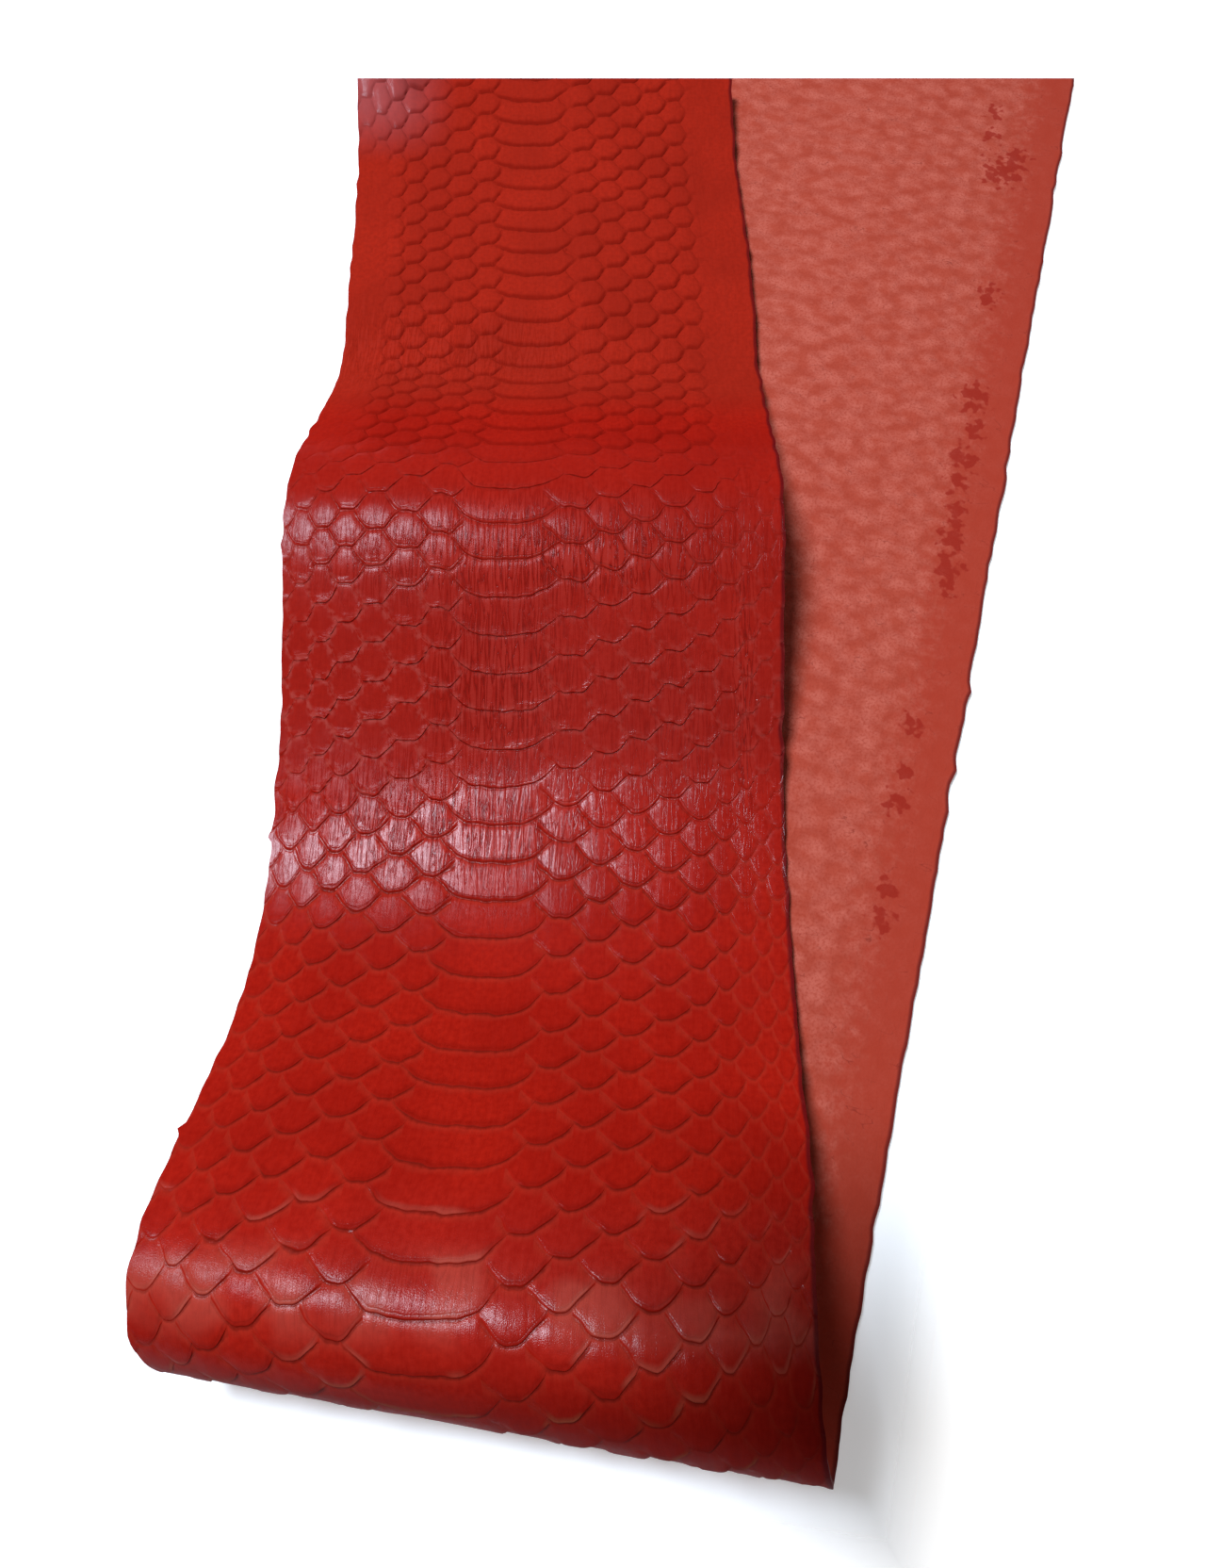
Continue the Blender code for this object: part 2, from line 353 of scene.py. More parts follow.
def boldness(across, along):
    """How strong the relief is: full in the middle, lower near worn edges and where it was pressed."""
    sides = 1 - 0.55 * ramp(np.abs(across + 4), 50, 66)
    pressed = 1 - 0.1 * ramp(along, 45, 65) * ramp(along, 135, 115)
    beyond = ramp(along, 255, 280)
    worn_right = ramp(across, 48, 56) * beyond
    worn_left = ramp(across, -51, -60) * beyond * ramp(along, 434, 422)
    return sides * pressed * (1 - 0.8 * np.maximum(worn_right, worn_left))


def pads(along):
    """How much the plates stand out as pads with a groove all round, from 0 to 1."""
    foot = ramp(along, 124, 140) * ramp(along, 178, 162)
    brow = ramp(along, 216, 232) * ramp(along, 262, 246)
    crest = 0.45 * bump(along, CREST, 12)
    return np.maximum(np.maximum(foot, brow), np.maximum(crest, LEAST_PAD))


def puffed(along):
    """Where the scales are puffed up, beyond the wave, from 0 to 1."""
    return ramp(along, 256, 280)


def lifted(along):
    """Where the bending lifts the rims of the free edges, from 0 to 1."""
    return bump(along, 195, 45)


def domed(distance):
    """0 at an edge, 1 from DOME_REACH mm onwards, without a corner at the top."""
    return 1 - (1 - np.clip(distance / DOME_REACH, 0, 1)) ** 2


def relief(across, along):
    """Height of the grain side in mm above its lowest skin."""
    column, row, middle = scale_coordinates(across, along)
    _, above_own, to_cover, own_crisp, over_crisp = scale_at(column, row, middle, along)
    padded, far = pads(along), puffed(along)
    own_crisp = np.maximum(own_crisp, PAD_CRISP * padded)
    over_crisp = np.maximum(over_crisp, PAD_CRISP * padded)
    as_pad = np.maximum((padded - LEAST_PAD) / (1 - LEAST_PAD), far)
    in_groove = 1 - ramp(to_cover, 0, 1.9 - 0.9 * padded)
    grooved = (0.7 + 0.3 * over_crisp) * (1 - 0.35 * padded) * in_groove
    sloping = 0.85 * above_own / (above_own + to_cover)
    plate = FREE_EDGE * (1 + 0.7 * far) * (0.4 + 0.6 * own_crisp)
    plate = plate * (1 - grooved * as_pad - sloping * (1 - as_pad))
    plate = plate - FRONT_SLOPE * far * (1 - ramp(above_own, 0, 2.2)) * (1 - grooved)
    plate = plate + RIM_LIFT * lifted(along) * own_crisp * (1 - ramp(above_own, 0.2, 1.5))
    plate = plate + NOSE_LIFT * bump(along, -2, 11) * own_crisp * (1 - ramp(above_own, 0.2, 5.2))
    dome = DOME * padded + CREST_DOME * bump(along, CREST, 14) + FAR_DOME * far
    plate = plate + dome * domed(above_own) * domed(to_cover)
    belly = 1 - (1 - BELLY_SHARE) * ramp(np.abs(middle), SCUTE_REACH, SCUTE_REACH - 3)
    height = plate * belly * boldness(across, along)
    on_slope = bump(across, -48, 20) * bump(along, 205, 40)
    return np.maximum(height + CRUMPLED * on_slope * crumple(across, along), 0)


# %% [markdown]
# ## A grid whose rows follow the free edges
# A plain grid would blur each step. So in each column of the grid we first find the free edges, then
# pull one row to just below each edge and the next row to just above it. The rows between are
# spread evenly, a little closer together near the steps.

# %% Find the free edges and snap the rows to them
EDGE_GAP = 0.14
SEARCH_STEP = 0.1
CROWDING = 0.07


def free_edges(across, first, last):
    """Places along of the visible free edges at one place across, with how crisp each is."""
    along = np.arange(first, last, SEARCH_STEP)
    column, row, middle = scale_coordinates(np.full(along.shape, across), along)
    above, _, _, crisp, _ = scale_at(column, row, middle, along)
    jumps = np.nonzero(above[1:] < above[:-1] - 0.5)[0] + 1
    return along[jumps] - above[jumps], crisp[jumps]


def snapped_rows(across, first, last, count):
    """Places along of one grid column's rows."""
    step = (last - first) / (count - 1)
    edges, crisp = free_edges(across, first, last)
    fixed = {0: first, count - 1: last}
    for index in np.argsort(-crisp, kind="stable"):
        row = int((edges[index] - first) / step)
        if row < 1 or row > count - 3 or row in fixed or row + 1 in fixed:
            continue
        fixed[row] = edges[index] - EDGE_GAP
        fixed[row + 1] = edges[index] + EDGE_GAP
    known = sorted(fixed)
    rows = np.zeros(count)
    for low, high in zip(known, known[1:]):
        share = np.linspace(0, 1, high - low + 1)
        if high - low > 2:
            share = share - CROWDING * np.sin(2 * math.pi * share)
        rows[low : high + 1] = fixed[low] + (fixed[high] - fixed[low]) * share
    return rows


def flat_grid(first, last, columns, step):
    """Places across and along of a snapped grid, one line of points to each row."""
    count = int(round((last - first) / step)) + 1
    places = np.linspace(-STRIP_WIDTH / 2, STRIP_WIDTH / 2, columns)
    along = np.stack([snapped_rows(place, first, last, count) for place in places], axis=1)
    return np.broadcast_to(places, along.shape), along


GRAIN_START = -31
upper_across, upper_along = flat_grid(GRAIN_START, LAST_UPPER, 161, 1.18)
lower_across, lower_along = flat_grid(LAST_LOWER, GRAIN_START - 2.4, 81, 2.36)
print("grain grids", upper_along.shape, lower_along.shape)

# %% [markdown]
# ## Small unevenness
# No knife cuts a hide quite straight. The left edge has a waist, the slow noise wobbles both cut edges
# by a fraction of a millimetre, and a few marks stand for the little tongues that the photograph
# shows. Each mark has its side, its place along, and how far it stands out and reaches.

# %% Wobble of the edges
edge_wobble = waves(9)
EDGE_WOBBLE = 0.28
WAIST = 2.3
EDGE_MARKS = (
    (-1, 154, 1, 1.1), (-1, 70, 1.2, 1), (-1, 236, 0.5, 1.5),
    (1, -223, 0.9, 2.4), (1, -197, 0.7, 2), (1, -300, 0.4, 4), (1, 300, 0.5, 3),
)


def uneven(across, along):
    """The place across of a point, with the waist and the wobble of the cut edges."""
    across = across + WAIST * bump(along, 320, 32) * np.maximum(0, -across / (STRIP_WIDTH / 2)) ** 3
    near = ramp(np.abs(across), 64, 70)
    made = EDGE_WOBBLE * edge_wobble(across, along) * near
    for side, place, height, width in EDGE_MARKS:
        made = made + side * height * bump(along, place, width) * near * (np.sign(across) == side)
    return across + made


# %% [markdown]
# ## Build the two faces of the leather
# The grain side gets the relief; the flesh side is smooth and lies the leather's thickness below.
# The flesh side uses the same rows as the grain side, so the cut edges close with plain quads.

# %% Points of both sides
FLESH_COLUMNS = 13


def side_points(across, along, height):
    """Points of one side, height mm away from the bent sheet towards the scaled side."""
    across = uneven(across, along)
    return lay(across, along) + height[..., None] * MM * outward(across, along)


ends = [np.concatenate([lower_along[:, side], upper_along[:, side]]) for side in (0, -1)]
share = np.linspace(0, 1, FLESH_COLUMNS)
flesh_along = ends[0][:, None] * (1 - share) + ends[1][:, None] * share
flesh_across = np.broadcast_to(STRIP_WIDTH * (share - 0.5), flesh_along.shape)
grids = [(upper_across, upper_along), (lower_across, lower_along), (flesh_across, flesh_along)]
heights = [relief(*grids[0]), relief(*grids[1]), np.full(flesh_along.shape, -THICKNESS)]
places = [side_points(*grid, height) for grid, height in zip(grids, heights)]
points = np.concatenate([grid.reshape(-1, 3) for grid in places])
print("points", len(points))

# %% [markdown]
# ## Join the points into one closed sheet
# A quad that crosses a step is cut along the diagonal that stays on one level, so the step stays a
# narrow band. One strip of triangles joins the fine grid of the upper layer to the coarse grid below.

# %% Faces
LEATHER, SUEDE, CUT_EDGE = 0, 1, 2
numbers = np.split(np.arange(len(points)), np.cumsum([along.size for _, along in grids])[:-1])
upper_ids, lower_ids, flesh_ids = (ids.reshape(along.shape) for ids, (_, along) in zip(numbers, grids))


def quad_corners(grid):
    """The values of a grid at the four corners of each of its quads."""
    return grid[:-1, :-1], grid[:-1, 1:], grid[1:, 1:], grid[1:, :-1]


def grid_triangles(ids, heights):
    """Two triangles to each quad, cut along the diagonal with the smaller difference in height."""
    a, b, c, d = quad_corners(ids)
    ha, hb, hc, hd = quad_corners(heights)
    level = (np.abs(ha - hc) <= np.abs(hb - hd))[..., None]
    first = np.where(level, np.stack([a, b, c], -1), np.stack([a, b, d], -1))
    second = np.where(level, np.stack([a, c, d], -1), np.stack([b, c, d], -1))
    return np.concatenate([first.reshape(-1, 3), second.reshape(-1, 3)]).tolist()


faces = grid_triangles(upper_ids, heights[0]) + grid_triangles(lower_ids, heights[1])
for k in range(lower_ids.shape[1] - 1):
    left, right = lower_ids[-1, k : k + 2]
    one, two, three = upper_ids[0, 2 * k : 2 * k + 3]
    faces += [[left, two, one], [left, right, two], [right, three, two]]
slots = [LEATHER] * len(faces)
a, b, c, d = quad_corners(flesh_ids)
faces += np.stack([a, d, c, b], -1).reshape(-1, 4).tolist()
slots += [SUEDE] * (len(faces) - len(slots))
for side in (0, -1):
    outer = np.concatenate([lower_ids[:, side], upper_ids[:, side]])
    inner = flesh_ids[:, side]
    faces += np.stack([outer[:-1], outer[1:], inner[1:], inner[:-1]], -1).tolist()
slots += [CUT_EDGE] * (len(faces) - len(slots))
print("faces before the ends are cut", len(faces))

# %% [markdown]
# ## Patterns travel in UV maps
# The materials need to know where on the flat strip they are, because the wrinkles and the scales
# follow the leather and not the room. So five maps carry ten numbers: the flat place in millimetres,
# the column and row of the scale, the distance from the belly line, how creased the leather is, how
# much the plates stand out, how far their rims lift, how strong the relief is, and where the scales
# are puffed up. A creased spot has its place, its half width across and along, and its strength.

# %% The five maps
MAPS = {
    "flat": ("across", "along"), "scales": ("column", "row"), "zones": ("middle", "creased"),
    "shapes": ("padded", "rimmed"), "wear": ("bold", "puffed"),
}
LEAST_CREASED = 0.08
CREASED = (
    (-20, 158, 45, 20, 1), (0, 235, 60, 16, 1), (-9, 200, 22, 40, 0.8),
    (40, 185, 26, 40, 0.4), (-9, 36, 60, 9, 0.3), (59, 200, 3.5, 50, 0.9),
    (-60, 335, 90, 22, 0.4), (10, 198, 60, 34, 0.27),
)


def creases(across, along):
    """How creased the glazed side is, from 0 to 1: most where the sheet was bent hardest."""
    made = np.full(np.shape(along), LEAST_CREASED)
    for place_across, place_along, half_across, half_along, strength in CREASED:
        spot = bump(across, place_across, half_across) * bump(along, place_along, half_along)
        made = np.maximum(made, strength * spot)
    return made


def maps_of(across, along):
    """The ten values that the maps hold, one row to each flat point."""
    column, row, middle = scale_coordinates(across, along)
    bold, creased = boldness(across, along), creases(across, along)
    rims = lifted(along) * (0.5 + 0.5 * ramp(across, -10, -40))
    values = (across, along, column, row, middle, creased, pads(along) * bold, rims, bold, puffed(along))
    return np.stack([value.ravel() for value in values], -1)


map_values = np.concatenate([maps_of(*grid) for grid in grids])
print("values in the maps", map_values.shape)

# %% Make the mesh
mesh = bpy.data.meshes.new("folded_skin")
mesh.from_pydata(points.tolist(), [], faces)
mesh.polygons.foreach_set("material_index", slots)
corners = np.zeros(len(mesh.loops), dtype=np.int32)
mesh.loops.foreach_get("vertex_index", corners)
for index, name in enumerate(MAPS):
    pair = map_values[corners, 2 * index : 2 * index + 2]
    mesh.uv_layers.new(name=name).data.foreach_set("uv", pair.astype(np.float32).ravel())
print("mesh", len(mesh.vertices), "points", len(mesh.polygons), "faces")

# %% [markdown]
# ## Cut the two ends
# In the photograph both far ends run out of the picture along one straight line, so both are cut by
# one slanting plane that meets the camera. Each cut leaves an open slit as wide as the leather is
# thick, and we fill it.

# %% Cut and close the ends
CUT_PLACE = Vector((0, 0.2321, 0.0006))
CUT_NORMAL = Vector((0, 0.5543, 0.8323))
NEAR_CUT = 0.02


def cut_end(bm, near_end):
    """Cuts off the layer that near_end lies on, where it passes the cutting plane."""
    layer = set()
    stack = [min(bm.verts, key=lambda v: (v.co - near_end).length)]
    while stack:
        vert = stack.pop()
        if vert in layer or (vert.co - CUT_PLACE).dot(CUT_NORMAL) < -NEAR_CUT:
            continue
        layer.add(vert)
        stack += [edge.other_vert(vert) for edge in vert.link_edges]
    cut_faces = {face for vert in layer for face in vert.link_faces}
    edges = {edge for face in cut_faces for edge in face.edges}
    verts = {vert for face in cut_faces for vert in face.verts}
    geometry = [*cut_faces, *edges, *verts]
    bmesh.ops.bisect_plane(
        bm, geom=geometry, dist=1e-6, plane_co=CUT_PLACE, plane_no=CUT_NORMAL, clear_outer=True
    )
    opened = [edge for edge in bm.edges if edge.is_boundary]
    made = bmesh.ops.holes_fill(bm, edges=opened, sides=0)
    for face in made["faces"]:
        face.material_index = CUT_EDGE
    bmesh.ops.triangulate(bm, faces=made["faces"])


bm = bmesh.new()
bm.from_mesh(mesh)
for near_end in (LAST_UPPER - 8, LAST_LOWER + 8):
    cut_end(bm, Vector(lay(0, near_end)))
bmesh.ops.recalc_face_normals(bm, faces=bm.faces)
open_edges = sum(1 for edge in bm.edges if not edge.is_manifold)
triangles = sum(len(face.verts) - 2 for face in bm.faces)
bm.to_mesh(mesh)
bm.free()
mesh.shade_smooth()
mesh.set_sharp_from_angle(angle=math.radians(28))
skin = in_scene("folded_skin", mesh)
print("open edges", open_edges, "triangles", triangles)

# %% [markdown]
# ## Writing materials
# One small function adds a node of any kind with its settings and links, and one turns the colours
# that a screen shows, written as hex, into the linear values that the renderer works with. The kinds
# that come most often have short names. A ramp, straight or with smooth ends, gives 0 to 1 where no
# other range is named.

# %% Helpers for nodes
MENUS = {
    "Math": "operation", "VectorMath": "operation",
    "MapRange": "interpolation_type", "TexNoise": "noise_dimensions",
}
RANGE, SMOOTH, MIX, NOISE = "MapRange", "MapRange SMOOTHSTEP", "MixRGB", "TexNoise 2D"
TIMES, TIMES_PLUS, MINUS, LARGER = "Math MULTIPLY", "Math MULTIPLY_ADD", "Math SUBTRACT", "Math MAXIMUM"


def linear(hex_colour):
    """A screen colour such as 8A1410 as the linear colour that the renderer uses."""
    made = []
    for start in (0, 2, 4):
        value = int(hex_colour[start : start + 2], 16) / 255
        made.append(value / 12.92 if value <= 0.04045 else ((value + 0.055) / 1.055) ** 2.4)
    return (*made, 1)


def add(tree, kind, *inputs, out=0, **named):
    """Adds a node and returns one output. After a space, kind may name a choice of the node's menu. The
    inputs are links, numbers or hex colours, in their order or by name; other names are settings."""
    while kind == TIMES and len(inputs) > 2:
        inputs = (add(tree, kind, *inputs[:2]), *inputs[2:])
    kind, _, choice = kind.partition(" ")
    node = tree.nodes.new("ShaderNode" + kind)
    if choice:
        setattr(node, MENUS[kind], choice)
    for name, value in (*named.items(), *enumerate(inputs)):
        if isinstance(name, str) and name not in node.inputs:
            setattr(node, name, value)
        elif isinstance(value, bpy.types.NodeSocket):
            tree.links.new(value, node.inputs[name])
        elif value is not None:
            node.inputs[name].default_value = linear(value) if isinstance(value, str) else value
    return node.outputs[out]


# %% [markdown]
# ## The scale pattern as a node group
# This is the same rule as in scale_at, built from math nodes, so a material knows how far each
# shading point is above its own free edge and below the covering one. The mesh has about one row to
# a millimetre; the nodes draw the fine lines between.

# %% Candidates: the scales that might cover a point
GIVEN = ("column", "row", "middle", "along")
FOUND = ("above_own", "to_cover", "own_crisp", "cover_crisp")


def candidate_scales(node, column, row, middle, along):
    """Each scale's share of a row above its edge, 1 if it is out, its crispness and its slant."""
    candidates = []
    tip, slope, rounding = (
        node(SMOOTH, along, BROAD_FROM, BROAD_TO, *span) for span in (TIP_HALF, FLANK_SLOPE, TIP_ROUNDING)
    )
    whole = node("Math FLOOR", column)
    for side, (start, end, least) in enumerate(CRISP_TO):
        number = node("Math ADD", whole, side)
        off = node("Math ABSOLUTE", node(MINUS, column, number))
        past_tip = node(LARGER, node(MINUS, off, tip), 0)
        rise = node("Math ADD", node("Math POWER", past_tip, 2), node("Math POWER", rounding, 2))
        rise = node(MINUS, node("Math POWER", rise, 0.5), rounding)
        rise = node(TIMES_PLUS, number, 0.5, node(TIMES, rise, slope))
        share = node("Math FRACT", node(MINUS, row, rise))
        beyond = node("Math GREATER_THAN", off, FLANK_REACH)
        is_belly = node("Math COMPARE", number, 0, 0.1)
        barred = node(LARGER, beyond, is_belly)
        crisp = node(SMOOTH, off, start, end, 1, least)
        slant = node(TIMES_PLUS, node("Math POWER", off, 2), -FLANK_SLANT, 1)
        candidates.append((share, barred, crisp, slant))
    off = node("Math ABSOLUTE", middle)
    rise = node("Math POWER", node("Math DIVIDE", off, SCUTE_HALF), SCUTE_CURVE)
    share = node("Math FRACT", node(MINUS, row, node(TIMES, rise, 0.5)))
    barred = node("Math GREATER_THAN", off, SCUTE_REACH)
    crisp = node(SMOOTH, off, SCUTE_CRISP, SCUTE_REACH, 1, SCUTE_LEAST)
    return [*candidates, (share, barred, crisp, 1)]


# %% Node group: the nearest candidate is the scale that we see
def pattern_group():
    group = bpy.data.node_groups.new("scale_pattern", "ShaderNodeTree")
    for names, side in ((GIVEN, "INPUT"), (FOUND, "OUTPUT")):
        for name in names:
            group.interface.new_socket(name, in_out=side, socket_type="NodeSocketFloat")
    node = partial(add, group)
    candidates = candidate_scales(node, *group.nodes.new("NodeGroupInput").outputs[:4])
    distances, crispness = [], []
    for upwards in (True, False):
        best = None
        for share, barred, crisp, slant in candidates:
            if not upwards:
                share = node(TIMES, node(MINUS, 1, share), slant)
            share = node(TIMES_PLUS, barred, FAR, share)
            if best is None:
                best, best_crisp, best_slant = share, crisp, slant
                continue
            nearer = node("Math LESS_THAN", share, best)
            best = node("Math MINIMUM", share, best)
            best_crisp = node("Mix", nearer, None, best_crisp, crisp)
            best_slant = node("Mix", nearer, None, best_slant, slant)
        if upwards:
            best = node(TIMES, best, best_slant)
        distances.append(node(TIMES, best, PITCH))
        crispness.append(best_crisp)
    for socket, value in zip(group.nodes.new("NodeGroupOutput").inputs, distances + crispness):
        group.links.new(value, socket)
    return group


SCALE_PATTERN = pattern_group()


# %% Start and end of a material
def new_material(name):
    """An empty material, the function that adds its nodes, and the values of the maps and the pattern."""
    material = bpy.data.materials.new(name)
    material.use_nodes = True
    material.node_tree.nodes.clear()
    node, at = partial(add, material.node_tree), SimpleNamespace()
    for layer, names in MAPS.items():
        place = node("UVMap", uv_map=layer)
        vars(at).update(zip((layer, *names), (place, *node("SeparateXYZ", place).node.outputs)))
    pattern = node("Group", *(vars(at)[name] for name in GIVEN), node_tree=SCALE_PATTERN).node
    vars(at).update(zip(FOUND, pattern.outputs))
    at.nearest = node("Math MINIMUM", at.above_own, at.to_cover)
    return material, node, at


def finish_material(node, inputs):
    shader = node("BsdfPrincipled", **inputs)
    tree = shader.id_data
    tree.links.new(shader, tree.nodes.new("ShaderNodeOutputMaterial").inputs["Surface"])


# %% [markdown]
# ## Glazed grain leather: the dye
# The skin was dyed red through its thickness. The dye takes unevenly, in clouds of about 30 mm and
# specks of about 1.5 mm. Over the slope of the wave the colour is darker, and that is painted shade.

# %% Dye
def dye_and_slope_shade(node, at):
    clouds = node(NOISE, Vector=at.flat, Scale=0.035, Detail=3)
    at.specks = node(NOISE, Vector=at.flat, Scale=0.7, Detail=4)
    cloudy = node(RANGE, clouds, 0.35, 0.65)
    speckled = node(RANGE, at.specks, 0.3, 0.7, 0.45, 1)
    dye = node(MIX, speckled, "8C0F07", node(MIX, cloudy, "9A150A", "A6190C"))
    on_slope = node(SMOOTH, at.along, 160, 185)
    slope_shade_fade = node(SMOOTH, at.along, 215, 315, 1, 0)
    # Painted shade: the slope of the wave is darker
    return node(MIX, node(TIMES, on_slope, slope_shade_fade, 0.45), dye, "8A1A12")


# %% [markdown]
# ## The lines between the plates
# Under each covering edge there is a dark line, about 0.3 mm wide, which is painted shade, and where
# the flank lies flat a fine pale line, which is a painted highlight. Where the plates stand out as pads,
# a band of about 0.5 mm and the rounded rim of each free edge have less glaze. The rims of the free
# edges are painted a little paler.

# %% Lines and plates
def lines_and_plates(node, at, colour):
    crisp = node(LARGER, at.cover_crisp, node(TIMES, at.padded, PAD_CRISP))
    below_edge = node("Math ADD", at.to_cover, node(TIMES_PLUS, at.specks, 0.5, -0.25))
    at.near_part = node(SMOOTH, at.along, 138, 168, 1, 0)
    width = node(TIMES_PLUS, at.near_part, 0.5, 0.5)
    # The dark line under each covering edge is painted shade; dark_lines lays it on the colour
    line = node(SMOOTH, below_edge, 0.05, width, 1, 0)
    at.line = node(TIMES, line, crisp, at.bold)
    # Painted highlight: a fine pale line where the flank lies flat
    pale_glint_line = node(TIMES, node(MINUS, line, at.line), at.rimmed, 0.3)

    band = node(SMOOTH, at.to_cover, 0.1, 0.5, 1, 0)
    rim = node(SMOOTH, at.above_own, 0.1, 0.6, 1, 0)
    off_plate = node(TIMES, node(LARGER, band, rim), at.padded, 0.65)
    step = node(SMOOTH, at.nearest, 0.12, 0.3, 1, 0)
    at.plate = node(MINUS, 1, node(LARGER, off_plate, step))
    above_pad = node(MINUS, at.above_own, 0.8)
    below_pad = node(MINUS, at.to_cover, 0.6)
    off_line = node("Math ABSOLUTE", node("Math MINIMUM", above_pad, below_pad))
    at.pad_line = node(TIMES, node(SMOOTH, off_line, 0, 0.3, 1, 0), at.padded)
    colour = node(MIX, node(TIMES, rim, at.own_crisp, 0.12), colour, "A8261A")
    return node(MIX, pale_glint_line, colour, "B8443A")


# %% [markdown]
# ## Faded parts, painted shade and painted sheen
# Well beyond the wave the plates are a little paler, and a hazy painted sheen lies over the far left
# corner. Beyond the wave and on the near part each rounded front has a soft dark crescent of painted
# shade. On the near part the skin below each free edge is paler, a painted highlight. Over the fold
# the plates carry a hazy painted sheen and some free edges are painted pale, in crescents about 1.5 mm
# wide. On its nose the colour is darker, as painted shade, and the lifted tips show the tan of the
# bare hide.

# %% Faded parts, painted shade and sheen
def fade_shade_and_sheen(node, at, colour):
    colour = node(MIX, node(SMOOTH, at.along, 288, 318, 0, 0.09), colour, "905034")
    # Painted sheen: a pale hazy patch over the far left corner
    far_end = node(SMOOTH, at.along, 424, 456, 0, 0.13)
    corner = node(SMOOTH, at.across, -62, -32, 1, 0)
    colour = node(MIX, node(TIMES, corner, far_end), colour, "C8A0A4")
    # Painted highlight: on the near part the skin just below each free edge is paler
    highlight_below_edge = node(SMOOTH, at.to_cover, 0.5, 2.6, 0.13, 0)
    colour = node(MIX, node(TIMES, highlight_below_edge, at.near_part), colour, "B84630")
    # Painted shade: a soft dark crescent on each rounded front
    rounded_part = node(TIMES_PLUS, at.puffed, 0.5, node(TIMES, at.near_part, 0.34))
    front_shade = node(SMOOTH, at.above_own, 0.2, 2.2, 1, 0)
    front_shade = node(TIMES, front_shade, at.own_crisp, at.bold, rounded_part)
    return node(MIX, front_shade, colour, "680602")


def fold_shade_sheen_and_tips(node, at, colour):
    at.on_fold = node(SMOOTH, at.along, 50, 64, 1, 0)
    at.off_nose = node(SMOOTH, at.along, 12, 26)
    # Painted shade: the nose of the fold is darker
    colour = node(MIX, node(SMOOTH, at.along, 10, 28, 0.6, 0), colour, "5A0A06")
    patchy = node(NOISE, Vector=at.flat, Scale=0.06, Detail=1)
    # Some free edges are painted pale in crescents, and the lifted tips on the nose are painted tan
    crescent = node(SMOOTH, at.above_own, 0.3, 1.8, 1, 0)
    pale_tips = node(RANGE, patchy, 0.5, 0.62, 0, 0.26)
    crescent = node(TIMES, crescent, at.own_crisp, pale_tips, at.on_fold)
    colour = node(MIX, crescent, colour, node(MIX, at.off_nose, "8A5A3C", "C86450"))
    # Painted sheen: a pale haze on the plates just behind the top of the fold
    before_fold = node(SMOOTH, at.along, 38, 48, 1, 0)
    behind_nose = node(SMOOTH, at.along, 23, 33)
    painted_sheen = node(RANGE, patchy, 0.4, 0.58, 0.02, 0.17)
    return node(MIX, node(TIMES, before_fold, behind_nose, painted_sheen, at.plate), colour, "C8705C")


# Painted shade: the dark line under each covering edge, a dark strip along the right cut edge, and the groove
# round each pad
def dark_lines(node, at, colour):
    depth = node(TIMES_PLUS, at.puffed, -0.2, 0.55)
    colour = node(MIX, node(TIMES, at.line, depth), colour, "300402")
    colour = node(MIX, node(SMOOTH, at.across, 68.6, 69.5, 0, 0.75), colour, "4A0A10")
    return node(MIX, node(TIMES, at.pad_line, 0.35), colour, "4A0805")


# %% [markdown]
# ## Wrinkles and crinkles
# Wrinkles run along the strip, about 1 mm apart: they lie where a noise that is squeezed across and
# stretched along passes its middle value. The grooves are 0.2 mm wide and darkened as painted shade,
# and a pale painted highlight runs beside each. Above the tips of the slope's scales the bending
# crinkled the skin, in ripples of about 1 mm that run across and come in patches, and there the skin
# between the plates is painted paler in patches, a painted sheen.

# %% Wrinkles
def wrinkled(node, at, colour):
    """The colour with the wrinkles in it, and their height in mm."""
    squeezed = node("VectorMath MULTIPLY", at.flat, (0.8, 0.075, 1))
    folds = node(NOISE, Vector=squeezed, Scale=1, Detail=2, Distortion=0.4)
    from_groove = node("Math ABSOLUTE", node(MINUS, folds, 0.5))
    shown = node(TIMES, at.creased, at.plate)
    # Painted shade in the grooves, and a painted highlight on the ridges beside them
    groove = node(TIMES, node(SMOOTH, from_groove, 0, 0.05, 1, 0), shown)
    ridge_glint = node(TIMES, node(SMOOTH, from_groove, 0.07, 0.13, 0, 0.22), shown)
    colour = node(MIX, ridge_glint, colour, "BC4034")
    colour = node(MIX, node(TIMES, groove, 0.6), colour, "4A0805")
    return colour, node(TIMES_PLUS, groove, -0.06, node(TIMES, folds, shown, 0.14))


